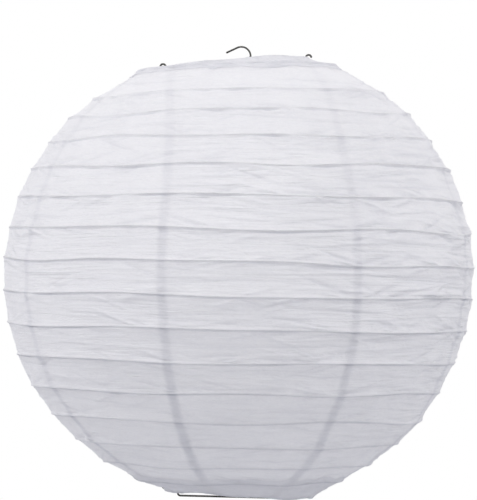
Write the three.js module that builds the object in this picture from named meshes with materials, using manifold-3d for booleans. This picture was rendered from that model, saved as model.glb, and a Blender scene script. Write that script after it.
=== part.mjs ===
// Accordion paper lantern: a round paper shade on parallel wire ribs, folding flat like a bellows, held open by a
// bent-wire expander and hung from a wire hook.
//
// Millimetres, +Z up. The origin is the underside of the hook's bend, where it bears on whatever holds the lantern.
// The expander's two legs and the hook lie in the XZ plane. Every ring and rib is centred on the Z axis.

import * as THREE from "three";
import { mergeVertices } from "three/addons/utils/BufferGeometryUtils.js";
import Module from "manifold-3d";

// ---- driving dimensions ----
const SHADE_DIAMETER = 762; // over the paper at the widest ribs
const BELLY_HALF_HEIGHT = 367; // vertical half axis of the ellipse that the ribs lie on
const BELLY_RISE = 7; // the ellipse's middle, above the middle between the two mouth rings
const RIBS_PER_HALF = 8;
const RIB_SPREAD = 351; // rib heights are this times the sine of an angle
const RIB_STEP = THREE.MathUtils.degToRad(8.33); // of that angle, from rib to rib
const RIB_STEP_GAIN = 0.0085; // and its growth with each rib
const RING_RADIUS = 118; // of the two mouth rings, to the wire's middle
const RING_HALF_SPACING = 346; // from the shade's middle up or down to a mouth ring
const SHOULDER_LIFT = 18; // how far the stretched top raises its first rib, which leaves a nearly flat shoulder
const HOOK_RISE = 28.4; // from the top ring up to the underside of the hook's bend

const RIB_WIRE = 0.6; // wire radii
const RING_WIRE = 1.5;
const FRAME_WIRE = 1.6;
const HOOK_WIRE = 1.5;

const PAPER = 0.4; // thickness of the paper's solid
const PAPER_GAP = 0.3; // between the paper's solid and the wire under it
const PAPER_END_GAP = 0.2; // each band stops this far short of the rib's middle
const PAPER_DIP = 3; // how far a band sinks between two ribs

const SEAT_RADIUS = 4.4; // wire centre line where the expander curls round a mouth ring
const CREST_HEIGHT = 5; // centre of the curl over the top ring
const BEND_RADIUS = 4; // every other bend in the expander
const FOOT_HALF_SPAN = 98; // where the expander drops through the bottom ring
const FOOT_DROP = 6.5; // from the bottom ring down to the cross bar

const BAR_DROP = 16; // from the top ring down to the spreader bar
const BAR_PEAK = 6; // height of the spreader bar's middle kink
const BAR_PEAK_HALF_WIDTH = 14;
const EYE_CLEARANCE = 0.45; // between a wire and the eye that loops round it

const SHANK_OFFSET = 19.6; // sideways, from the eye to the hook's upright
const HOOK_BEND_RADIUS = 15;
const HOOK_TIP_LENGTH = 19.5;
const HOOK_TIP_SLOPE = THREE.MathUtils.degToRad(25);

const AROUND = 32; // flats round a ring or rib
const WIRE_SIDES = 8;
const RIB_SIDES = 5;
const STEPS_PER_QUARTER = 4; // of a wire's bend

// ---- levels ----
const TOP_RING_Z = -HOOK_RISE;
const SHADE_MIDDLE_Z = TOP_RING_Z - RING_HALF_SPACING;
const BOTTOM_RING_Z = SHADE_MIDDLE_Z - RING_HALF_SPACING;
const BAR_Z = TOP_RING_Z - BAR_DROP;
const PIVOT_Z = BAR_Z + BAR_PEAK;
const HOOK_TOP_Z = HOOK_WIRE; // wire centre line at the top of the hook's bend
const LEG_X = RING_RADIUS + SEAT_RADIUS;

// ---- materials ----
const paperMaterial = new THREE.MeshStandardMaterial({
  color: 0xeeedf1,
  roughness: 0.85,
  metalness: 0,
});
const ribMaterial = new THREE.MeshStandardMaterial({
  color: 0xc9cbcf,
  roughness: 0.45,
  metalness: 1,
});
const wireMaterial = new THREE.MeshStandardMaterial({
  color: 0x75746f,
  roughness: 0.3,
  metalness: 1,
});

// ---- joins ----
const wasm = await Module();
wasm.setup();

// The closed solid that a geometry bounds.
function solidOf(geometry) {
  const plain = geometry.clone();
  plain.deleteAttribute("normal");
  plain.deleteAttribute("uv");
  const merged = mergeVertices(plain, 1e-3);
  return new wasm.Manifold(
    new wasm.Mesh({
      numProp: 3,
      vertProperties: new Float32Array(merged.attributes.position.array),
      triVerts: new Uint32Array(merged.index.array),
    }),
  );
}

// One geometry that joins overlapping ones.
function joined(geometries) {
  const mesh = geometries
    .map(solidOf)
    .reduce((a, b) => a.add(b))
    .getMesh();
  const geometry = new THREE.BufferGeometry();
  geometry.setAttribute(
    "position",
    new THREE.BufferAttribute(new Float32Array(mesh.vertProperties), 3),
  );
  geometry.setIndex(new THREE.BufferAttribute(new Uint32Array(mesh.triVerts), 1));
  geometry.computeVertexNormals();
  return geometry;
}

// ---- bent wire ----

// A path through given points, sampled at the points themselves, so that straights take no extra steps.
class BentWire extends THREE.Curve {
  constructor(points) {
    super();
    this.points = points;
  }

  getPoint(t, target = new THREE.Vector3()) {
    const place = t * (this.points.length - 1);
    const before = Math.min(Math.floor(place), this.points.length - 2);
    return target.lerpVectors(this.points[before], this.points[before + 1], place - before);
  }

  getPointAt(u, target) {
    return this.getPoint(u, target);
  }

  getTangentAt(u, target = new THREE.Vector3()) {
    const last = this.points.length - 1;
    const here = Math.round(u * last);
    const before = this.points[Math.max(here - 1, 0)];
    const after = this.points[Math.min(here + 1, last)];
    return target.subVectors(after, before).normalize();
  }
}

// A round wire of the given radius along a list of points.
function wireAlong(points, radius) {
  const section = new THREE.Shape();
  section.absarc(0, 0, radius, 0, 2 * Math.PI);
  return new THREE.ExtrudeGeometry(section, {
    steps: points.length - 1,
    curveSegments: WIRE_SIDES / 2, // an arc takes two steps for each
    bevelEnabled: false,
    extrudePath: new BentWire(points),
  });
}

// Points of an arc in the XZ plane, from one angle to another, both ends included.
function bend(x, z, radius, fromDegrees, toDegrees) {
  const steps = Math.max(2, Math.round((Math.abs(toDegrees - fromDegrees) / 90) * STEPS_PER_QUARTER));
  return Array.from({ length: steps + 1 }, (_, i) => {
    const angle = THREE.MathUtils.degToRad(fromDegrees + ((toDegrees - fromDegrees) * i) / steps);
    return new THREE.Vector3(x + radius * Math.cos(angle), 0, z + radius * Math.sin(angle));
  });
}

function mirrored(points) {
  return points.map((p) => new THREE.Vector3(-p.x, p.y, p.z)).reverse();
}

// ---- turned rings ----

// A ring turned about Z from a closed outline of (radius, height) points that runs anticlockwise.
function turned(outline) {
  const profile = outline.map(([radius, height]) => new THREE.Vector2(radius, height));
  profile.push(profile[0].clone());
  return new THREE.LatheGeometry(profile, AROUND).rotateX(Math.PI / 2);
}

function wireRing(radius, wire, sides) {
  const outline = Array.from({ length: sides }, (_, i) => {
    const angle = (2 * Math.PI * (i + 0.5)) / sides;
    return [radius + wire * Math.cos(angle), wire * Math.sin(angle)];
  });
  return turned(outline);
}

// ---- the shade's rows ----

// Rows from the top ring down to the bottom ring: radius, height above the shade's middle, and the outward normal.
function shadeRows() {
  const beyondWire = RIB_WIRE + PAPER_GAP + PAPER;
  const share = (height) => Math.sqrt(1 - ((height - BELLY_RISE) / BELLY_HALF_HEIGHT) ** 2);
  const height = (k) => RIB_SPREAD * Math.sin((k + 0.5) * RIB_STEP * (1 + RIB_STEP_GAIN * k));
  const bellyRadius = (SHADE_DIAMETER / 2 - beyondWire) / share(height(0));
  const rib = (z) => {
    const radius = bellyRadius * share(z);
    const slope = new THREE.Vector2(radius / bellyRadius ** 2, (z - BELLY_RISE) / BELLY_HALF_HEIGHT ** 2);
    return { radius, height: z, normal: slope.normalize() };
  };
  const mouth = (side) => ({
    radius: RING_RADIUS,
    height: side * RING_HALF_SPACING,
    normal: new THREE.Vector2(0.5, side * 0.87).normalize(),
  });
  const heights = Array.from({ length: RIBS_PER_HALF }, (_, k) => height(k));
  const lifted = heights.map((z, k) => (k === RIBS_PER_HALF - 1 ? z + SHOULDER_LIFT : z));
  return [mouth(1), ...lifted.reverse().map(rib), ...heights.map((z) => rib(-z)), mouth(-1)];
}

// One band of paper between two rows. It lies outside both wires and dips between them.
function paperBand(upper, lower, upperWire, lowerWire) {
  const a = new THREE.Vector2(upper.radius, upper.height);
  const b = new THREE.Vector2(lower.radius, lower.height);
  const down = b.clone().sub(a).normalize();
  const out = new THREE.Vector2(-down.y, down.x);
  const at = (centre, normal, wire, along, depth) =>
    centre
      .clone()
      .addScaledVector(normal, wire + PAPER_GAP + depth)
      .addScaledVector(down, along);
  const middle = a
    .clone()
    .add(b)
    .multiplyScalar(0.5)
    .addScaledVector(out, RIB_WIRE + PAPER_GAP - PAPER_DIP);
  const outline = [
    at(a, upper.normal, upperWire, PAPER_END_GAP, 0),
    middle,
    at(b, lower.normal, lowerWire, -PAPER_END_GAP, 0),
    at(b, lower.normal, lowerWire, -PAPER_END_GAP, PAPER),
    middle.clone().addScaledVector(out, PAPER),
    at(a, upper.normal, upperWire, PAPER_END_GAP, PAPER),
  ];
  return turned(outline.map((p) => [p.x, p.y]));
}

// ---- expander, spreader bar and hook ----

// One wire: curled round the top ring, down both sides, in over the bottom ring and across below it.
function expanderFrame() {
  const footBend = FOOT_HALF_SPAN + BEND_RADIUS;
  const shoulderZ = BOTTOM_RING_Z + SEAT_RADIUS;
  const crossBarZ = BOTTOM_RING_Z - FOOT_DROP;
  const right = [
    ...bend(RING_RADIUS, TOP_RING_Z + CREST_HEIGHT, SEAT_RADIUS, 0, 180),
    ...bend(RING_RADIUS, TOP_RING_Z, SEAT_RADIUS, 180, 270),
    ...bend(RING_RADIUS, TOP_RING_Z - 2 * SEAT_RADIUS, SEAT_RADIUS, 90, 0).slice(1),
    ...bend(LEG_X - BEND_RADIUS, shoulderZ + BEND_RADIUS, BEND_RADIUS, 0, -90),
    ...bend(footBend, shoulderZ - BEND_RADIUS, BEND_RADIUS, 90, 180),
    ...bend(FOOT_HALF_SPAN - BEND_RADIUS, crossBarZ + BEND_RADIUS, BEND_RADIUS, 0, -90),
  ];
  return wireAlong([...right, ...mirrored(right)], FRAME_WIRE);
}

// A straight bar with a middle kink for the hook, and an eye round each leg of the expander.
function spreaderBar() {
  const eyeRadius = 2 * FRAME_WIRE + EYE_CLEARANCE;
  const half = [
    new THREE.Vector3(LEG_X - eyeRadius, 0, 0),
    new THREE.Vector3(BAR_PEAK_HALF_WIDTH, 0, 0),
    new THREE.Vector3(BAR_PEAK_HALF_WIDTH * 0.3, 0, BAR_PEAK * 0.93),
    new THREE.Vector3(BAR_PEAK_HALF_WIDTH * 0.16, 0, BAR_PEAK),
  ];
  const eye = new THREE.TorusGeometry(eyeRadius, FRAME_WIRE, WIRE_SIDES, 20);
  return joined([
    wireAlong([...half, ...mirrored(half)], FRAME_WIRE),
    eye.clone().translate(LEG_X, 0, 0),
    eye.clone().translate(-LEG_X, 0, 0),
  ]);
}

// An eye round the spreader bar's kink, a cranked shank, a round bend and a straight tip, in one wire.
// Its eye turns in the YZ plane, about the pivot at this geometry's origin.
function hangingHook() {
  const eyeRadius = FRAME_WIRE + EYE_CLEARANCE + HOOK_WIRE;
  const top = HOOK_TOP_Z - PIVOT_Z;
  const bendX = SHANK_OFFSET - HOOK_BEND_RADIUS;
  const bendZ = top - HOOK_BEND_RADIUS;
  const eye = Array.from({ length: 16 }, (_, i) => {
    const angle = THREE.MathUtils.degToRad(150 + (285 * i) / 15);
    return new THREE.Vector3(0, eyeRadius * Math.cos(angle), eyeRadius * Math.sin(angle));
  });
  const shank = [
    new THREE.Vector3(1.2, 0.6, eyeRadius + 0.7),
    new THREE.Vector3(4.5, 0, eyeRadius + 3.2),
    new THREE.Vector3(SHANK_OFFSET - 4.5, 0, bendZ - 4.5),
    new THREE.Vector3(SHANK_OFFSET - 1, 0, bendZ - 1.8),
  ];
  const crown = bend(bendX, bendZ, HOOK_BEND_RADIUS, 0, 90 + THREE.MathUtils.radToDeg(HOOK_TIP_SLOPE));
  const end = crown.at(-1);
  const tip = new THREE.Vector3(
    end.x - HOOK_TIP_LENGTH * Math.cos(HOOK_TIP_SLOPE),
    0,
    end.z - HOOK_TIP_LENGTH * Math.sin(HOOK_TIP_SLOPE),
  );
  return wireAlong([...eye, ...shank, ...crown, tip], HOOK_WIRE);
}

// ---- assembly ----
const lantern = new THREE.Group();
const shade = new THREE.Group();
shade.position.z = SHADE_MIDDLE_Z;
lantern.add(shade);

function addMesh(parent, name, geometry, material, z = 0) {
  const mesh = new THREE.Mesh(geometry, material);
  mesh.name = name;
  mesh.position.z = z;
  parent.add(mesh);
}

addMesh(lantern, "hanging_hook", hangingHook(), wireMaterial, PIVOT_Z);
addMesh(lantern, "spreader_bar", spreaderBar(), wireMaterial, BAR_Z);
addMesh(lantern, "expander_frame", expanderFrame(), wireMaterial);

const rows = shadeRows();
const lastRow = rows.length - 1;
const wireAt = (index) => (index === 0 || index === lastRow ? RING_WIRE : RIB_WIRE);
const numbered = (name, number) => name + "_" + String(number).padStart(2, "0");

rows.forEach((row, index) => {
  const isRing = index === 0 || index === lastRow;
  const name = index === 0 ? "top_ring" : index === lastRow ? "bottom_ring" : numbered("rib", index);
  const sides = isRing ? WIRE_SIDES : RIB_SIDES;
  const ring = wireRing(row.radius, wireAt(index), sides);
  addMesh(shade, name, ring, isRing ? wireMaterial : ribMaterial, row.height);
});

rows.slice(1).forEach((lower, index) => {
  const band = paperBand(rows[index], lower, wireAt(index), wireAt(index + 1));
  addMesh(shade, numbered("paper_band", index + 1), band, paperMaterial);
});

export default lantern;
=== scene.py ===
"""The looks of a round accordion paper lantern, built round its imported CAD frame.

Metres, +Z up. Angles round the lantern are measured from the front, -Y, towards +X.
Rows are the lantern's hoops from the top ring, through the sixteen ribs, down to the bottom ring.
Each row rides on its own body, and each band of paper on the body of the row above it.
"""

import math

import bpy
import numpy as np
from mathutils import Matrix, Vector


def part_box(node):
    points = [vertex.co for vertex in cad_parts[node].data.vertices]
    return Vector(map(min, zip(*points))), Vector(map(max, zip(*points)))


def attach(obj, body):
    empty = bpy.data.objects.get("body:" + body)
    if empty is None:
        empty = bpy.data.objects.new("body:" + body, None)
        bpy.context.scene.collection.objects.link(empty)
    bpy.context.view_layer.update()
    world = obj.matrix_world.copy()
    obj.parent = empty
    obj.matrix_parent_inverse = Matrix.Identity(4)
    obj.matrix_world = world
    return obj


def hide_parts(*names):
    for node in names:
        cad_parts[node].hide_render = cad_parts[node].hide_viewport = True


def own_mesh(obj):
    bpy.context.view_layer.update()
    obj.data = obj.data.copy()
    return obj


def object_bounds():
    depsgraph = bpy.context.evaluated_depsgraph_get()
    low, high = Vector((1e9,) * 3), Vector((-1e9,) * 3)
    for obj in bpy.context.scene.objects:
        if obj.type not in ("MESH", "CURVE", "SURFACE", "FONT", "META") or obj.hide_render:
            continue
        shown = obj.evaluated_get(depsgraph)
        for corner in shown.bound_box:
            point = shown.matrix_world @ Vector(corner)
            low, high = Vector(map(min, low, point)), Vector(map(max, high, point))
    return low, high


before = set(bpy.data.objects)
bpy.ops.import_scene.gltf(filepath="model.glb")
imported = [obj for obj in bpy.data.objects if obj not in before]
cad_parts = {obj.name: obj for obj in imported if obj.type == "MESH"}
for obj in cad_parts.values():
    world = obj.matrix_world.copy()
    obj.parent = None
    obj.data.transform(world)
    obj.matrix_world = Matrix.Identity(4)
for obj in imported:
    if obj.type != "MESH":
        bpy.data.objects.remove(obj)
cad_low, cad_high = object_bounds()

RIB_WIRE = 0.0006  # wire radii
RING_WIRE = 0.0015
FRAME_WIRE = 0.0016
HOOK_WIRE = 0.0015

GLUE_GAP = 0.00025  # from a wire's surface to the paper over it
SEAT_DEPTH = 0.0017  # how far the paper sinks beside a rib's ridge
SEAT_WIDTH = 0.0019
TUCK_DEPTH = 0.0009  # the crease just under a rib
TUCK_PLACE = 0.0027
TUCK_WIDTH = 0.0014
RIB_LINE_SHADE_WIDTH = 0.0018  # half the width of the painted shade line where a rib shows through the paper
DIP_TOP = 0.0017  # how far a full band sinks between its ribs, at the top
DIP_BOTTOM = 0.0014  # and at the bottom
FULL_BAND = 0.05  # a band at least this long sinks fully
BUCKLE = 0.0005  # small upright waves between the ribs
TURN_WIDTH = 0.005  # how near a hoop the paper's normal turns to the hoop's own
LOOSE_EDGE = 0.004  # creases fade out this near a hoop

OVERLAP = 0.0145  # of one gore over the next
OVERLAP_LIFT = 0.00028
SEAM_BLUR = 1.45  # width of the painted shade along a seam, where the doubled paper lets less light through, in overlaps
SEAM_TOP = 0.2  # how strongly that painted shade shows at the top, against the bottom
RIB_BOOST_LENGTH = 0.011  # how far under each rib the seams' painted shade is stronger
HEM_UNDER_RIB = 0.013  # how far the mouth's second layer runs past the first rib
HEM_LIFT = 0.0009  # of the second layer over the first
HEM_GAP = 0.0003  # from the paper under it to the hem that is folded round a ring
HEM_CRUMPLE = 0.18  # share of that fold's radius
HEM_FOLD = (52, 285)  # degrees round the ring's wire, from level and outward, where the hem starts and ends

HOOP_WAVE = 0.0013  # how far a rib strays from a true circle
FULL_WAVE_RADIUS = 0.25  # ribs at least this wide wave fully
SWAY = 0.004  # how far the shade strays to the right above its middle, and to the left below it
TOP_TILTS = [3.3, 2.0, 1.2, 0.6, 0.2, -0.2, -0.6, -0.9]  # degrees, the first rows
REST_TILT = -1.1  # the rows below them
BOTTOM_TILTS = [-0.9, -0.6, -0.7, -2.5]  # the last ribs and the bottom ring
CREST_TILT = 3.6  # of the expander's curls over the top ring
FOOT_TILT = -1.4  # and of its foot
TOP_SHIFT = -0.0045  # of the top ring and the expander's curls, to the right
TOP_BEND = 0.003  # the upward bend in the top ring, and where it is, in radians round from the front
TOP_BEND_TURN = 0.8
BOTTOM_NOD = 0.0022  # how much higher the bottom ring hangs in front than in the middle
BOTTOM_BEND = 0.0036  # and the upward bend in it
BOTTOM_BEND_TURN = -0.5
BEND_SHARPNESS = 4  # the larger, the narrower both bends
MOUTH_NORMAL = np.array([0.5, 0.866])  # outward and upward at the top ring

# Degrees round from the front where each seam stands at the belly, and where it reaches the top ring.
SEAMS = [
    (-61, -82),
    (-17.8, -48.4),
    (28.6, 51.9),
    (72, 90),
    (117, 124),
    (162, 165),
    (207, 207),
    (252.5, 247),
]

FANS = 190  # groups of creases per metre of a band's radius
STREAKS = 330  # long creases
NICKS = 55  # short steep creases
BUSY_TURN = 0.7  # radians round from the front where creases are deepest
BUSY_BAND = 8
DARK_CREASE = 0.0012  # a crease this deep gets the full painted shade

GORE_COLUMNS = 80  # mesh steps across a gore
BAND_STEP = 0.0022  # down a band, away from its ribs
HEM_COLUMNS = 361
HEM_STEPS = 12
HEM_TURNS = 18
HOOP_STEPS = 240
WIRE_STEPS = 12  # round a wire

# Seeds of the random waves. Each row or band adds its own number.
RADIUS_SEED = 100
HEIGHT_SEED = 200
SLACK_SEED = 300
TUCK_SEED = 400
BUCKLE_SEED = 500
SEAT_SEED = 600
HEM_SEED = 700
CRUMPLE_SEED = 800
CREASE_SEED = 1000

# ---- rows ----
TOP_Z, BOTTOM_Z = (sum(c.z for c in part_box(ring)) / 2 for ring in ("top_ring", "bottom_ring"))
MIDDLE_Z = (TOP_Z + BOTTOM_Z) / 2


class Row:
    """One hoop, at the radius and height of its CAD node."""

    def __init__(self, index, node, body, wire, tilt):
        low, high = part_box(node)
        self.index = index
        self.node = node
        self.body = body
        self.wire = wire
        self.radius = high.x - wire
        self.z = (low.z + high.z) / 2
        self.tilt = math.radians(tilt)
        self.normal = None

    def place(self, angle):
        """Radius and height of the wire's middle at each angle."""
        wave = HOOP_WAVE * min(1, self.radius / FULL_WAVE_RADIUS)
        lean = self.radius * np.sin(angle) * math.tan(self.tilt)
        rise = (self.z - MIDDLE_Z) / (TOP_Z - MIDDLE_Z)
        sway = SWAY * math.sin(math.pi * rise) + TOP_SHIFT * max(0, rise) ** 3
        radius = self.radius + sway * np.sin(angle)
        radius = radius + ripple(angle, RADIUS_SEED + self.index, range(2, 7), 0.6 * wave)
        height = self.z + lean + ripple(angle, HEIGHT_SEED + self.index, range(2, 9), wave)
        if self.node == "top_ring":
            height = height + TOP_BEND * ring_bend(angle, TOP_BEND_TURN)
        if self.node == "bottom_ring":
            height = height + BOTTOM_NOD * np.cos(angle) + BOTTOM_BEND * ring_bend(angle, BOTTOM_BEND_TURN)
        return radius, height


def ring_bend(angle, turn):
    """A smooth rise in a ring that is full at the given turn and dies out on both sides."""
    return np.exp(BEND_SHARPNESS * (np.cos(angle - turn) - 1))


def ripple(angle, seed, orders, size):
    """A smooth random wave round the lantern."""
    random = np.random.default_rng(seed)
    total = np.zeros_like(angle)
    for order in orders:
        phase = random.uniform(0, 2 * math.pi)
        total += random.normal() * np.sin(order * angle + phase)
    return size * total * math.sqrt(2 / len(orders))


def make_rows():
    """The top ring, the ribs and the bottom ring, from the top down."""
    ribs = sorted(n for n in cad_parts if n.startswith("rib_"))
    plain = len(ribs) + 2 - len(TOP_TILTS) - len(BOTTOM_TILTS)
    tilts = TOP_TILTS + [REST_TILT] * plain + BOTTOM_TILTS
    nodes = ["top_ring", *ribs, "bottom_ring"]
    bodies = ["expander", *ribs, "bottom_ring"]
    made = []
    for index, (node, body, tilt) in enumerate(zip(nodes, bodies, tilts)):
        wire = RIB_WIRE if node in ribs else RING_WIRE
        made.append(Row(index, node, body, wire, tilt))
    for before, row, after in zip(made, made[1:], made[2:]):
        along = np.array([after.radius - before.radius, after.z - before.z])
        row.normal = np.array([-along[1], along[0]]) / np.hypot(*along)
    made[0].normal = MOUTH_NORMAL
    made[-1].normal = MOUTH_NORMAL * (1, -1)
    return made


rows = make_rows()
BELLY = max(row.radius for row in rows)


def flatten_band(piece):
    """Gives a band of paper its own copy of its mesh."""
    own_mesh(piece)


def flatten_row(piece):
    """Gives a hoop or a mouth's hem its own copy of its mesh."""
    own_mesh(piece)


# ---- mesh helpers ----


def round_to_xyz(radius, angle, z):
    return np.stack([radius * np.sin(angle), -radius * np.cos(angle), z], axis=-1)


def new_object(name, points, faces, material):
    mesh = bpy.data.meshes.new(name)
    mesh.from_pydata(points.tolist(), [], faces)
    mesh.shade_smooth()
    mesh.materials.append(material)
    thing = bpy.data.objects.new(name, mesh)
    bpy.context.scene.collection.objects.link(thing)
    return thing


def grid_faces(down, across, first=0):
    """Quads of a sheet of points stored row by row, facing out of the lantern."""
    faces = []
    for i in range(down - 1):
        for j in range(across - 1):
            a = first + i * across + j
            faces.append((a, a + across, a + across + 1, a + 1))
    return faces


def tube(name, path, radius, material, closed=False):
    """A round wire swept along a path of points, with rounded ends where it is open."""
    path = np.asarray(path)
    count = len(path)
    if closed:
        tangents = np.roll(path, -1, axis=0) - np.roll(path, 1, axis=0)
        sizes = np.ones(count)
    else:
        tangents = np.gradient(path, axis=0)
        start, end = tangents[0], tangents[-1]
        start, end = start / np.linalg.norm(start), end / np.linalg.norm(end)
        cap = [0.0, 0.5, 0.85]
        before = [path[0] - start * radius * (1 - c) * 0.6 for c in cap]
        after = [path[-1] + end * radius * (1 - c) * 0.6 for c in reversed(cap)]
        path = np.concatenate([before, path, after])
        tangents = np.concatenate([[start] * len(cap), tangents, [end] * len(cap)])
        sizes = np.concatenate([np.maximum(cap, 0.02), np.ones(count), np.maximum(cap[::-1], 0.02)])
        count = len(path)
    tangents = tangents / np.linalg.norm(tangents, axis=1)[:, None]
    side = Vector(tangents[0]).orthogonal().normalized()
    rings = []
    for i in range(count):
        along = Vector(tangents[i])
        side = (side - along * side.dot(along)).normalized()
        up = along.cross(side)
        turn = np.arange(WIRE_STEPS) * 2 * math.pi / WIRE_STEPS
        ring = np.outer(np.cos(turn), side) + np.outer(np.sin(turn), up)
        rings.append(path[i] + ring * radius * sizes[i])
    faces = []
    last = count if closed else count - 1
    for i in range(last):
        here, there = i * WIRE_STEPS, (i + 1) % count * WIRE_STEPS
        for j in range(WIRE_STEPS):
            k = (j + 1) % WIRE_STEPS
            faces.append((here + j, here + k, there + k, there + j))
    if not closed:
        faces.append(tuple(reversed(range(WIRE_STEPS))))
        faces.append(tuple((count - 1) * WIRE_STEPS + j for j in range(WIRE_STEPS)))
    return new_object(name, np.concatenate(rings), faces, material)


def smooth_path(points, step):
    """A Catmull-Rom curve through the given points."""
    points = [np.asarray(p, float) for p in points]
    ends = [2 * points[0] - points[1], *points, 2 * points[-1] - points[-2]]
    path = []
    for a, b, c, d in zip(ends, ends[1:], ends[2:], ends[3:]):
        parts = max(2, round(np.linalg.norm(c - b) / step))
        bend = 2 * a - 5 * b + 4 * c - d
        twist = 3 * b - a - 3 * c + d
        for t in np.arange(parts) / parts:
            path.append(0.5 * (2 * b + (c - a) * t + bend * t**2 + twist * t**3))
    path.append(points[-1])
    return path


def arc(x, z, radius, start, end, steps):
    """Points of an arc in the XZ plane, between two angles in degrees."""
    turn = np.radians(np.linspace(start, end, steps + 1))
    return [np.array([x + radius * math.cos(t), 0, z + radius * math.sin(t)]) for t in turn]


# ---- materials ----
TRANSLUCENCE = 0.32  # of the paper
LAYER_SHADE_TINT = (0.865, 0.87, 0.895, 1)  # painted shade where two sheets overlap and let less light through
# painted shade in creases, in the crease under each rib and along each rib's line
FOLD_SHADE_TINT = (0.79, 0.797, 0.825, 1)


class Nodes:
    """A short hand for building the node tree of a material or a world."""

    def __init__(self, owner):
        owner.use_nodes = True
        self.owner = owner
        self.tree = owner.node_tree
        self.tree.nodes.clear()

    def feed(self, socket, value):
        """Links a socket to another node's output, or sets its value."""
        if isinstance(value, bpy.types.NodeSocket):
            self.tree.links.new(value, socket)
        else:
            socket.default_value = value

    def add(self, kind, settings=None, **inputs):
        node = self.tree.nodes.new("ShaderNode" + kind)
        for key, value in (settings or {}).items():
            setattr(node, key, value)
        for key, value in inputs.items():
            self.feed(node.inputs[key.replace("_", " ")], value)
        return node

    def math(self, operation, a, b):
        node = self.add("Math", {"operation": operation})
        for socket, value in zip(node.inputs, (a, b)):
            self.feed(socket, value)
        return node.outputs[0]

    def ramp(self, source, stops):
        node = self.add("ValToRGB", Fac=source)
        elements = node.color_ramp.elements
        while len(elements) < len(stops):
            elements.new(0.5)
        for element, (position, color) in zip(elements, stops):
            element.position = position
            element.color = (*color, 1)
        return node.outputs["Color"]

    def mix(self, kind, factor, a, b):
        """Mixes two colours."""
        node = self.add("Mix", {"data_type": "RGBA", "blend_type": kind})
        for socket, value in ((node.inputs[0], factor), (node.inputs[6], a), (node.inputs[7], b)):
            self.feed(socket, value)
        return node.outputs[2]

    def blend(self, factor, a, b):
        """Mixes two shaders."""
        node = self.add("MixShader", Fac=factor)
        self.feed(node.inputs[1], a.outputs[0])
        self.feed(node.inputs[2], b.outputs[0])
        return node.outputs[0]

    def cells(self, place, scale, **inputs):
        """Noise with its own number of cells per metre along X, Y and Z."""
        way = self.add("Mapping", Vector=place, Scale=scale).outputs["Vector"]
        return self.add("TexNoise", Vector=way, Scale=1.0, **inputs).outputs["Fac"]

    def ridges(self, noise):
        """Sharp valleys where the noise passes its middle value."""
        return self.math("ABSOLUTE", self.math("SUBTRACT", noise, 0.5), 0.0)

    def bump(self, height, strength, distance, **inputs):
        node = self.add("Bump", Height=height, Strength=strength, Distance=distance, **inputs)
        return node.outputs["Normal"]

    def finish(self, shader):
        self.add("OutputMaterial", Surface=shader)
        return self.owner


def paper_material():
    """Thin white paper: cloudy, fibrous and crinkled, translucent, with painted shade where sheets overlap,
    in creases and along ribs.
    """
    n = Nodes(bpy.data.materials.new("lantern_paper"))
    place = n.add("TexCoord").outputs["Object"]
    layer_shade = n.add("Attribute", {"attribute_name": "layer_shade"}).outputs["Fac"]
    fold = n.add("Attribute", {"attribute_name": "fold"}).outputs["Fac"]
    cloud = n.add("TexNoise", Vector=place, Scale=14.0, Detail=4.0, Roughness=0.55).outputs["Fac"]
    patch = n.add("TexNoise", Vector=place, Scale=7.0, Detail=1.0).outputs["Fac"]
    fibres = n.cells(place, (160, 160, 700), Detail=3.0, Distortion=1.2)
    streak = n.cells(place, (8, 8, 130), Detail=3.0, Roughness=0.5, Distortion=0.3)
    crinkle = n.cells(place, (26, 26, 95), Detail=5.0, Roughness=0.6, Distortion=0.8)

    color = n.ramp(cloud, [(0.3, (0.9, 0.892, 0.914)), (0.7, (0.93, 0.922, 0.938))])
    speck = n.ramp(fibres, [(0.32, (0.955, 0.955, 0.965)), (0.62, (1, 1, 1))])
    color = n.mix("MULTIPLY", 1.0, color, speck)
    # Painted shade: patchy where sheets overlap, and in creases and along the ribs.
    blotch = n.ramp(cloud, [(0.38, (0.5, 0.5, 0.5)), (0.6, (1, 1, 1))])
    color = n.mix("MULTIPLY", n.math("MULTIPLY", layer_shade, blotch), color, LAYER_SHADE_TINT)
    color = n.mix("MULTIPLY", fold, color, FOLD_SHADE_TINT)

    long_bump = n.bump(n.math("MULTIPLY", n.ridges(streak), patch), 0.8, 0.008)
    wide_bump = n.bump(n.ridges(crinkle), 0.5, 0.004, Normal=long_bump)
    bump = n.bump(fibres, 0.25, 0.0003, Normal=wide_bump)

    surface = n.add("BsdfPrincipled", Base_Color=color, Roughness=0.82, Specular_IOR_Level=0.25, Normal=bump)
    through = n.add("BsdfTranslucent", Color=color, Normal=bump)
    return n.finish(n.blend(TRANSLUCENCE, surface, through))


def steel_material(name, bright, dark, roughness):
    """Drawn steel wire with a dull coat: clouded tone, stains and uneven shine."""
    n = Nodes(bpy.data.materials.new(name))
    place = n.add("TexCoord").outputs["Object"]
    cloud = n.add("TexNoise", Vector=place, Scale=420.0, Detail=5.0, Roughness=0.6).outputs["Fac"]
    spots = n.add("TexNoise", Vector=place, Scale=90.0, Detail=2.0).outputs["Fac"]
    color = n.ramp(cloud, [(0.3, dark), (0.68, bright)])
    stain = n.ramp(spots, [(0.35, (0.72, 0.69, 0.62)), (0.55, (1, 1, 1))])
    color = n.mix("MULTIPLY", 1.0, color, stain)
    rough = n.add("MapRange", Value=cloud, To_Min=roughness - 0.08, To_Max=roughness + 0.14).outputs[0]
    bump = n.bump(cloud, 0.3, 0.0001)
    shader = n.add("BsdfPrincipled", Base_Color=color, Metallic=1.0, Roughness=rough, Normal=bump)
    return n.finish(shader.outputs[0])


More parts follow.
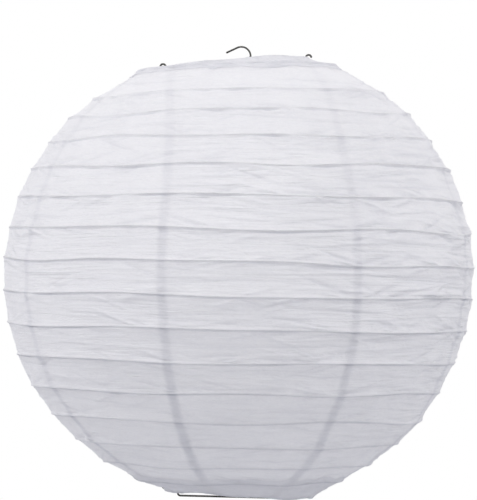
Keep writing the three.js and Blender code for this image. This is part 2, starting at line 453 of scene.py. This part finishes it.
paper = paper_material()
rib_steel = steel_material("rib_steel", (0.78, 0.78, 0.79), (0.6, 0.6, 0.6), 0.4)
frame_steel = steel_material("frame_steel", (0.17, 0.167, 0.158), (0.05, 0.049, 0.046), 0.3)

# ---- paper ----


def smooth_step(x):
    x = np.clip(x, 0, 1)
    return x * x * (3 - 2 * x)


def seam_angle(seam, radius, z):
    """A seam keeps to its meridian, but drifts round where the shade narrows to its top mouth."""
    belly, mouth = np.radians(seam)
    narrowing = (1 - radius / BELLY) / (1 - rows[0].radius / BELLY)
    return belly + (mouth - belly) * np.where(z > MIDDLE_Z, np.clip(narrowing, 0, 1) ** 2, 0)


def crease_list(random, length, radius):
    """One band's creases: turn, start down the band, direction, slope, reach, width and size of each."""
    found = []
    for _ in range(int(FANS * radius)):
        start = random.uniform(-math.pi, math.pi)
        top = random.uniform() < 0.5
        flip = random.choice([-1, 1])
        for _ in range(random.integers(2, 6)):
            slope = random.uniform(0.04, 0.36) * (1 if top else -1)
            turn = start + random.normal() * 0.012 / radius
            reach, width = random.uniform(0.03, 0.13), random.uniform(0.0015, 0.0036)
            size = random.uniform(0.0005, 0.0018)
            found.append((turn, 0 if top else length, flip, slope, reach, width, size))
    for _ in range(int(STREAKS * radius)):
        turn, slope = random.uniform(-math.pi, math.pi), random.uniform(-0.09, 0.09)
        reach, width = random.uniform(0.05, 0.3), random.uniform(0.0014, 0.0032)
        origin = random.uniform(0.08, 0.92) * length
        size = random.uniform(0.0004, 0.0015)
        found.append((turn, origin, 1, slope, reach, width, size))
    for _ in range(int(NICKS * radius)):
        top = random.uniform() < 0.5
        turn, slope = random.uniform(-math.pi, math.pi), random.uniform(0.5, 1.2) * (1 if top else -1)
        reach, width = random.uniform(0.01, 0.034), random.uniform(0.001, 0.002)
        flip = random.choice([-1, 1])
        size = random.uniform(0.0002, 0.0006)
        found.append((turn, 0 if top else length, flip, slope, reach, width, size))
    return found


def creases(band, angle, down, length, radius):
    """Height that one band's creases add at each point, and how much painted shade they put there, from 0 to
    1.
    """
    random = np.random.default_rng(CREASE_SEED + band)
    height = np.zeros_like(angle)
    shade = np.zeros_like(angle)
    for turn, origin, flip, slope, reach, width, size in crease_list(random, length, radius):
        distance = ((turn - BUSY_TURN) / 0.7) ** 2 + ((band - BUSY_BAND) / 4) ** 2
        depth = size * (0.7 + 1.1 * math.exp(-distance))
        sign = random.choice([-1, 1])
        across = flip * radius * ((angle - turn + math.pi) % (2 * math.pi) - math.pi)
        fall = down - origin
        along = across * math.cos(slope) + fall * math.sin(slope)
        aside = -across * math.sin(slope) + fall * math.cos(slope)
        window = smooth_step(along / (0.3 * reach)) * smooth_step((reach - along) / (0.6 * reach))
        mark = window * np.exp(-np.abs(aside) / width)
        height += sign * depth * mark
        # painted shade along each crease, half as strong on raised ones
        shade = np.maximum(shade, mark * depth / DARK_CREASE * (0.5 if sign > 0 else 1.0))
    return height, np.clip(shade, 0, 1)


def outward(upper, lower, square, from_top, from_low):
    """Directions out of the paper: square to the band, turning to each hoop's own normal near it."""
    near_top = np.exp(-((from_top / TURN_WIDTH) ** 2))[:, None]
    near_low = np.exp(-((from_low / TURN_WIDTH) ** 2))[:, None]
    normal = square * (1 - near_top - near_low) + upper.normal * near_top + lower.normal * near_low
    return normal / np.linalg.norm(normal, axis=-1)[:, None]


def sink(band, angle, share, from_top, from_low, fullness, lowness):
    """How far the paper lies below the tops of its wires, beside them and between them."""
    slack = 1 + ripple(angle, SLACK_SEED + band, range(3, 18), 0.22)
    dip = (DIP_TOP + (DIP_BOTTOM - DIP_TOP) * lowness) * fullness * slack
    bulge = 1 - np.abs(2 * share - 1) ** 2.6
    seat = SEAT_DEPTH * np.clip(1 + ripple(angle, SEAT_SEED + band, range(5, 40), 0.3), 0.4, 1.7)
    beside_top = 1 - np.exp(-((from_top / SEAT_WIDTH) ** 2))
    beside_low = 1 - np.exp(-((from_low / SEAT_WIDTH) ** 2))
    return seat * beside_top * beside_low + dip * bulge


def tuck_under(band, angle, from_top):
    """How strongly the paper creases just under its upper rib."""
    strength = np.clip(0.7 + ripple(angle, TUCK_SEED + band, range(4, 26), 0.4), 0, 1.6)
    return strength * np.exp(-(((from_top - TUCK_PLACE) / TUCK_WIDTH) ** 2))


def band_surface(upper, lower, angle, share, lift):
    """Points on the paper between two rows, share 0 at the upper and 1 at the lower, and the painted shade of
    their creases and ribs.
    """
    band = lower.index
    top_radius, top_z = upper.place(angle)
    low_radius, low_z = lower.place(angle)
    chord = np.stack([low_radius - top_radius, low_z - top_z], axis=-1)
    length = np.linalg.norm(chord, axis=-1)
    square = np.stack([-chord[:, 1], chord[:, 0]], axis=-1) / length[:, None]
    from_top, from_low = share * length, (1 - share) * length
    mean_length = float(np.mean(length))
    lowness = (TOP_Z - (upper.z + lower.z) / 2) / (TOP_Z - BOTTOM_Z)

    over_wire = upper.wire * (1 - share) + lower.wire * share + GLUE_GAP
    fullness = min(1, mean_length / FULL_BAND)
    depth = sink(band, angle, share, from_top, from_low, fullness, lowness)
    tuck = tuck_under(band, angle, from_top)
    buckle = ripple(angle, BUCKLE_SEED + band, range(14, 44), BUCKLE) * np.sin(math.pi * share)
    mean_radius = (upper.radius + lower.radius) / 2
    crease, crease_shade = creases(band, angle, share * mean_length, mean_length, mean_radius)
    loose = smooth_step(from_top / LOOSE_EDGE) * smooth_step(from_low / LOOSE_EDGE)

    off = over_wire - depth - TUCK_DEPTH * tuck + buckle + crease * loose + lift
    base = np.stack([top_radius, top_z], axis=-1) + chord * share[:, None]
    place = base + outward(upper, lower, square, from_top, from_low) * off[:, None]

    # Painted shade along each rib's line and in the crease under the upper rib, both stronger lower down, and
    # in the creases.
    rib_line_shade = lowness**1.5 * np.exp(-((np.minimum(from_top, from_low) / RIB_LINE_SHADE_WIDTH) ** 2))
    fold = np.maximum(crease_shade * loose * 0.4, (0.35 + 0.9 * lowness) * tuck)
    fold = np.maximum(fold, rib_line_shade)
    return round_to_xyz(place[:, 0], angle, place[:, 1]), np.clip(fold, 0, 1)


def band_steps(length):
    """Shares down a band: close together beside the ribs, and even between them."""
    near = np.array([0, 0.0007, 0.0014, 0.0022, 0.0031, 0.004, 0.0052, 0.007, 0.0095])
    near = near[near < 0.4 * length]
    middle = np.linspace(near[-1], length - near[-1], max(3, round(length / BAND_STEP)))[1:-1]
    return np.concatenate([near, middle, (length - near)[::-1]]) / length


def gore_grid(upper, lower, number, shares):
    """Angles, lifts and painted seam shade of one gore's columns, at each step down the band."""
    radius = upper.radius + (lower.radius - upper.radius) * shares
    z = upper.z + (lower.z - upper.z) * shares
    left = seam_angle(SEAMS[number], radius, z)
    next_seam = SEAMS[(number + 1) % len(SEAMS)]
    right = seam_angle(next_seam, radius, z) + (2 * math.pi if number == len(SEAMS) - 1 else 0)
    half = OVERLAP / 2 / radius
    offsets = np.array([-1, -0.5, 0, 0.5, 1, SEAM_BLUR])
    marks = smooth_step((SEAM_BLUR - np.abs(offsets)) / (SEAM_BLUR - 0.5))
    left_edge = left[:, None] + np.outer(half, offsets)
    right_edge = right[:, None] - np.outer(half, offsets[::-1])
    middle = np.linspace(left_edge[:, -1], right_edge[:, 0], GORE_COLUMNS, axis=-1)[:, 1:-1]
    angle = np.concatenate([left_edge, middle, right_edge], axis=-1)
    under = np.interp(offsets, [0.5, SEAM_BLUR], [-OVERLAP_LIFT / 2, 0])
    over = np.interp(-offsets[::-1], [-SEAM_BLUR, -0.5], [0, OVERLAP_LIFT])
    flat = np.zeros(middle.shape[1])
    lift = np.tile(np.concatenate([under, flat, over]), (len(shares), 1))
    # Painted shade of the seams: weak at the top, stronger lower down and just under the upper rib.
    seam_shade = SEAM_TOP + (1 - SEAM_TOP) * np.clip((TOP_Z - z) / (TOP_Z - BOTTOM_Z), 0, 1) ** 1.3
    length = math.hypot(lower.radius - upper.radius, lower.z - upper.z)
    rib_boost = 0.8 + 0.7 * np.exp(-((shares * length / RIB_BOOST_LENGTH) ** 2))
    layer_shade = np.outer(seam_shade * rib_boost, np.concatenate([marks, flat, marks[::-1]]))
    return angle, lift, layer_shade


def hem_grid(upper, lower, at_top, reach):
    """Angles, shares, lifts and painted shade of the second layer that a mouth's folded paper makes."""
    length = math.hypot(lower.radius - upper.radius, lower.z - upper.z)
    angle = np.linspace(-math.pi, math.pi, HEM_COLUMNS)
    ragged = 1 if reach >= length else 1 + ripple(angle, HEM_SEED + lower.index, range(2, 30), 0.07)
    steps = np.linspace(0, 1, HEM_STEPS)[:, None]
    shares = steps * min(1, reach / length) * ragged * np.ones_like(angle)
    if not at_top:
        shares = 1 - shares[::-1]
    angles = np.tile(angle, (HEM_STEPS, 1))
    # The second layer gets painted shade all over.
    return angles, shares, np.full_like(angles, HEM_LIFT), np.full_like(angles, 0.7)


def mark_paper(piece, layer_shade, fold):
    """Stores, at each point of a piece of paper, its painted shade where sheets overlap and its painted shade
    in creases and along ribs.
    """
    for name, values in (("layer_shade", layer_shade), ("fold", fold)):
        attribute = piece.data.attributes.new(name, "FLOAT", "POINT")
        attribute.data.foreach_set("value", values.astype(np.float32))


def paper_band(index):
    """One band of paper: eight overlapping gores, and a second layer near a mouth."""
    upper, lower = rows[index], rows[index + 1]
    length = math.hypot(lower.radius - upper.radius, lower.z - upper.z)
    shares = band_steps(length)
    sheets = []
    for number in range(len(SEAMS)):
        angle, lift, layer_shade = gore_grid(upper, lower, number, shares)
        sheets.append((angle, np.tile(shares[:, None], (1, angle.shape[1])), lift, layer_shade))
    last = len(rows) - 2
    if index in (0, last):
        sheets.append(hem_grid(upper, lower, index == 0, length))
    if index in (1, last - 1):
        sheets.append(hem_grid(upper, lower, index == 1, HEM_UNDER_RIB))

    points, faces, layer_shade_marks, fold_shade_marks = [], [], [], []
    first = 0
    for angle, share, lift, layer_shade in sheets:
        place, fold = band_surface(upper, lower, angle.ravel(), share.ravel(), lift.ravel())
        points.append(place)
        fold_shade_marks.append(fold)
        layer_shade_marks.append(layer_shade.ravel())
        faces += grid_faces(*angle.shape, first)
        first += angle.size
    piece = new_object(f"paper_{index + 1:02d}", np.concatenate(points), faces, paper)
    mark_paper(piece, np.concatenate(layer_shade_marks), np.concatenate(fold_shade_marks))
    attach(piece, upper.body)
    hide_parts(f"paper_band_{index + 1:02d}")
    flatten_band(piece)


def mouth_hem(row, name):
    """Paper folded round a mouth ring, from the band's edge over the wire and under it."""
    side = 1 if row.index == 0 else -1
    angle = np.linspace(-math.pi, math.pi, HEM_COLUMNS)
    turn = np.radians(np.linspace(*HEM_FOLD, HEM_TURNS)) * side
    radius, z = row.place(angle)
    around = row.wire + GLUE_GAP + HEM_GAP
    waves = [ripple(angle, CRUMPLE_SEED + i, range(8, 50), HEM_CRUMPLE) for i in range(HEM_TURNS)]
    crumple = 1 + np.stack(waves)
    ring_radius = radius + np.cos(turn)[:, None] * around * crumple
    ring_z = z + np.sin(turn)[:, None] * around * crumple
    points = round_to_xyz(ring_radius, np.tile(angle, (HEM_TURNS, 1)), ring_z).reshape(-1, 3)
    faces = grid_faces(HEM_TURNS, HEM_COLUMNS)
    if side > 0:
        faces = [face[::-1] for face in faces]
    piece = new_object(name, points, faces, paper)
    # Painted shade of the doubled paper, and a little painted crease shade.
    mark_paper(piece, np.full(len(points), 0.5), np.full(len(points), 0.1))
    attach(piece, row.body)
    flatten_row(piece)


for index in range(len(rows) - 1):
    paper_band(index)
mouth_hem(rows[0], "top_hem")
mouth_hem(rows[-1], "bottom_hem")

# ---- ribs and rings ----


def hoop(row):
    """A closed wire hoop that follows its row."""
    angle = np.arange(HOOP_STEPS) / HOOP_STEPS * 2 * math.pi
    radius, z = row.place(angle)
    is_rib = row.wire == RIB_WIRE
    name = row.node.replace("rib_", "rib_wire_") if is_rib else row.node + "_wire"
    steel = rib_steel if is_rib else frame_steel
    piece = tube(name, round_to_xyz(radius, angle, z), row.wire, steel, closed=True)
    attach(piece, row.body)
    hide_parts(row.node)
    flatten_row(piece)


for row in rows:
    hoop(row)

# ---- expander, spreader bar and hook ----
SEAT_RADIUS = 0.0044  # the expander's curl round a ring
CREST_HEIGHT = 0.005  # centre of the curl over the top ring
BEND_RADIUS = 0.004
FOOT_HALF_SPAN = 0.098
EYE_CLEARANCE = 0.00045  # between a wire and the eye that loops round it
EYE_STEP_RISE = 0.0003  # how much an eye climbs with each point of its loop
KINK_HALF_WIDTH = 0.0145
SHANK_CRANK = 0.0045  # how far each bend of the hook's shank reaches
HOOK_BEND_RADIUS = 0.015
HOOK_TIP_LENGTH = 0.0195
HOOK_TIP_SLOPE = 25  # degrees
LEG_BOW = 0.0016  # how far the legs spring out between their ends


def expander():
    """One wire: curled over the top ring, down both sides, in over the bottom ring and across below it."""
    low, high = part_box("expander_frame")
    leg_x = high.x - FRAME_WIRE
    bar_z = low.z + FRAME_WIRE
    ring_x, top_z, bottom_z = rows[0].radius, rows[0].z, rows[-1].z
    shoulder_z = bottom_z + SEAT_RADIUS
    right = arc(ring_x, top_z + CREST_HEIGHT, SEAT_RADIUS, 0, 180, 16)
    right += arc(ring_x, top_z, SEAT_RADIUS, 180, 270, 8)
    right += arc(ring_x, top_z - 2 * SEAT_RADIUS, SEAT_RADIUS, 90, 0, 8)[1:]
    leg_top, leg_end = right[-1][2], shoulder_z + BEND_RADIUS
    right += [np.array([leg_x, 0, z]) for z in np.linspace(leg_top, leg_end, 24)[1:-1]]
    right += arc(leg_x - BEND_RADIUS, leg_end, BEND_RADIUS, 0, -90, 8)
    foot = FOOT_HALF_SPAN + BEND_RADIUS
    right += arc(foot, shoulder_z - BEND_RADIUS, BEND_RADIUS, 90, 180, 8)
    right += arc(FOOT_HALF_SPAN - BEND_RADIUS, bar_z + BEND_RADIUS, BEND_RADIUS, 0, -90, 8)
    left = [p * (-1, 1, 1) for p in reversed(right)]
    span = [np.array([x, 0, bar_z]) for x in np.linspace(right[-1][0], left[0][0], 16)[1:-1]]
    path = np.array(right + span + left)
    share = np.clip((top_z - path[:, 2]) / (top_z - bottom_z), 0, 1)
    crest_lean, foot_lean = np.tan(np.radians([CREST_TILT, FOOT_TILT]))
    path[:, 2] += path[:, 0] * (crest_lean * (1 - share) + foot_lean * share)
    path[:, 0] += LEG_BOW * np.sin(math.pi * share) * np.sign(path[:, 0]) + TOP_SHIFT * (1 - share)
    piece = tube("expander_wire", path, FRAME_WIRE, frame_steel)
    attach(piece, "expander")
    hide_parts("expander_frame")


def spreader_bar():
    """A bar with a kink for the hook, and an open eye bent round each leg of the expander."""
    low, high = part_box("spreader_bar")
    leg_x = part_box("expander_frame")[1].x - FRAME_WIRE
    bar_z = low.z + FRAME_WIRE
    peak_z = high.z - FRAME_WIRE
    eye = 2 * FRAME_WIRE + EYE_CLEARANCE
    half = [np.array([x, 0, bar_z]) for x in (leg_x - eye - 0.004, 0.09, 0.05, 0.02, KINK_HALF_WIDTH)]
    half.append(np.array([0.009, 0, bar_z + 0.0018]))
    half.append(np.array([0.0042, 0, peak_z - 0.0004]))
    half.append(np.array([0.0022, 0, peak_z]))
    loop = []
    for step, turn in enumerate(np.radians(np.linspace(205, 515, 12))):
        rise = EYE_STEP_RISE * step
        loop.append(np.array([leg_x + eye * math.cos(turn), eye * math.sin(turn), bar_z + rise]))
    right = [*reversed(loop), *half]
    left = [p * (-1, -1, 1) for p in reversed(right)]
    piece = tube("spreader_wire", smooth_path(right + left, 0.0012), FRAME_WIRE, frame_steel)
    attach(piece, "expander")
    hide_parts("spreader_bar")


def hanging_hook():
    """An eye round the bar's kink, a cranked shank, a round bend and a straight tip, in one wire."""
    low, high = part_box("hanging_hook")
    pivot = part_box("spreader_bar")[1].z - FRAME_WIRE
    top_z = high.z - HOOK_WIRE
    eye = FRAME_WIRE + EYE_CLEARANCE + HOOK_WIRE
    shank_x = high.x - HOOK_WIRE
    bend = HOOK_BEND_RADIUS
    turn = np.radians(np.linspace(150, 435, 16))
    path = [np.array([0, eye * math.cos(t), pivot + eye * math.sin(t)]) for t in turn]
    path.append(np.array([0.0012, 0.0006, pivot + eye + 0.0007]))
    path.append(np.array([SHANK_CRANK, 0, pivot + eye + 0.0032]))
    path.append(np.array([shank_x - SHANK_CRANK, 0, top_z - bend - SHANK_CRANK]))
    path.append(np.array([shank_x - 0.001, 0, top_z - bend - 0.0018]))
    crown = arc(shank_x - bend, top_z - bend, bend, 0, 90 + HOOK_TIP_SLOPE, 12)
    slope = math.radians(HOOK_TIP_SLOPE)
    tip = crown[-1] - HOOK_TIP_LENGTH * np.array([math.cos(slope), 0, math.sin(slope)])
    path += [*crown, (crown[-1] + tip) / 2, tip]
    piece = tube("hook_wire", smooth_path(path, 0.001), HOOK_WIRE, frame_steel)
    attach(piece, "hook")
    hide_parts("hanging_hook")


expander()
spreader_bar()
hanging_hook()

# ---- stage, light and camera ----
FLOOR_DROP = 0.9  # under the lantern
FLOOR_RADIUS = 6.0
FLOOR_SIDES = 96
SKY_TINT = (0.98, 0.986, 1, 1)
SKY_SIDES = 1.2  # strength of the light from level
SKY_ZENITH = 0.2  # and from straight above
BACKDROP = (1, 1, 1, 1)
LAMPS = [
    # name, place, size, power
    ("left_lamp", (-3.1, -0.8, 1.9), 1.4, 44),
    ("right_lamp", (2.9, -0.8, 2.3), 1.4, 32),
    ("top_lamp", (0.2, -2.1, 2.5), 1.2, 25),
    ("back_lamp", (0.2, 2.5, 2.1), 1.4, 28),
]
CAMERA_DISTANCE = 4.85
CAMERA_LENS = 215.8
CAMERA_RISE = math.radians(0.554)


def floor():
    """A plain pale disc, far under the lantern."""
    n = Nodes(bpy.data.materials.new("floor"))
    place = n.add("TexCoord").outputs["Object"]
    cloud = n.add("TexNoise", Vector=place, Scale=3.0, Detail=3.0).outputs["Fac"]
    color = n.ramp(cloud, [(0.3, (0.66, 0.67, 0.7)), (0.7, (0.69, 0.7, 0.73))])
    shader = n.add("BsdfPrincipled", Base_Color=color, Roughness=0.9)
    turn = np.arange(FLOOR_SIDES) / FLOOR_SIDES * 2 * math.pi
    height = np.full_like(turn, cad_low.z - FLOOR_DROP)
    points = np.stack([FLOOR_RADIUS * np.cos(turn), FLOOR_RADIUS * np.sin(turn), height], axis=-1)
    disc = new_object("floor", points, [tuple(range(FLOOR_SIDES))], n.finish(shader.outputs[0]))


def world_light():
    """Soft light from all round, strongest from the sides, behind a plain white backdrop."""
    world = bpy.data.worlds.new("studio")
    bpy.context.scene.world = world
    n = Nodes(world)
    way = n.add("TexCoord").outputs["Generated"]
    rise = n.add("SeparateXYZ", Vector=way).outputs["Z"]
    strength = n.add("MapRange", Value=rise, To_Min=SKY_SIDES, To_Max=SKY_ZENITH).outputs[0]
    sky = n.add("Background", Color=SKY_TINT, Strength=strength)
    backdrop = n.add("Background", Color=BACKDROP)
    seen = n.add("LightPath").outputs["Is Camera Ray"]
    n.add("OutputWorld", Surface=n.blend(seen, sky, backdrop))


def softbox(name, place, size, power):
    """A round soft lamp that faces the lantern's middle."""
    light = bpy.data.lights.new(name, "AREA")
    light.shape = "DISK"
    light.size = size
    light.energy = power
    lamp = bpy.data.objects.new(name, light)
    bpy.context.scene.collection.objects.link(lamp)
    lamp.location = place
    target = Vector((0, 0, MIDDLE_Z))
    lamp.rotation_euler = (target - lamp.location).to_track_quat("-Z", "Y").to_euler()


def camera():
    """Level with the lantern's middle, in front of it, and turned up very slightly."""
    lens = bpy.data.cameras.new("camera")
    lens.lens = CAMERA_LENS
    lens.sensor_width = 36
    thing = bpy.data.objects.new("camera", lens)
    bpy.context.scene.collection.objects.link(thing)
    thing.location = (0, -CAMERA_DISTANCE, MIDDLE_Z)
    thing.rotation_euler = (math.pi / 2 + CAMERA_RISE, 0, 0)
    bpy.context.scene.camera = thing


floor()
world_light()
for lamp in LAMPS:
    softbox(*lamp)
camera()
bpy.context.scene.view_settings.view_transform = "Standard"
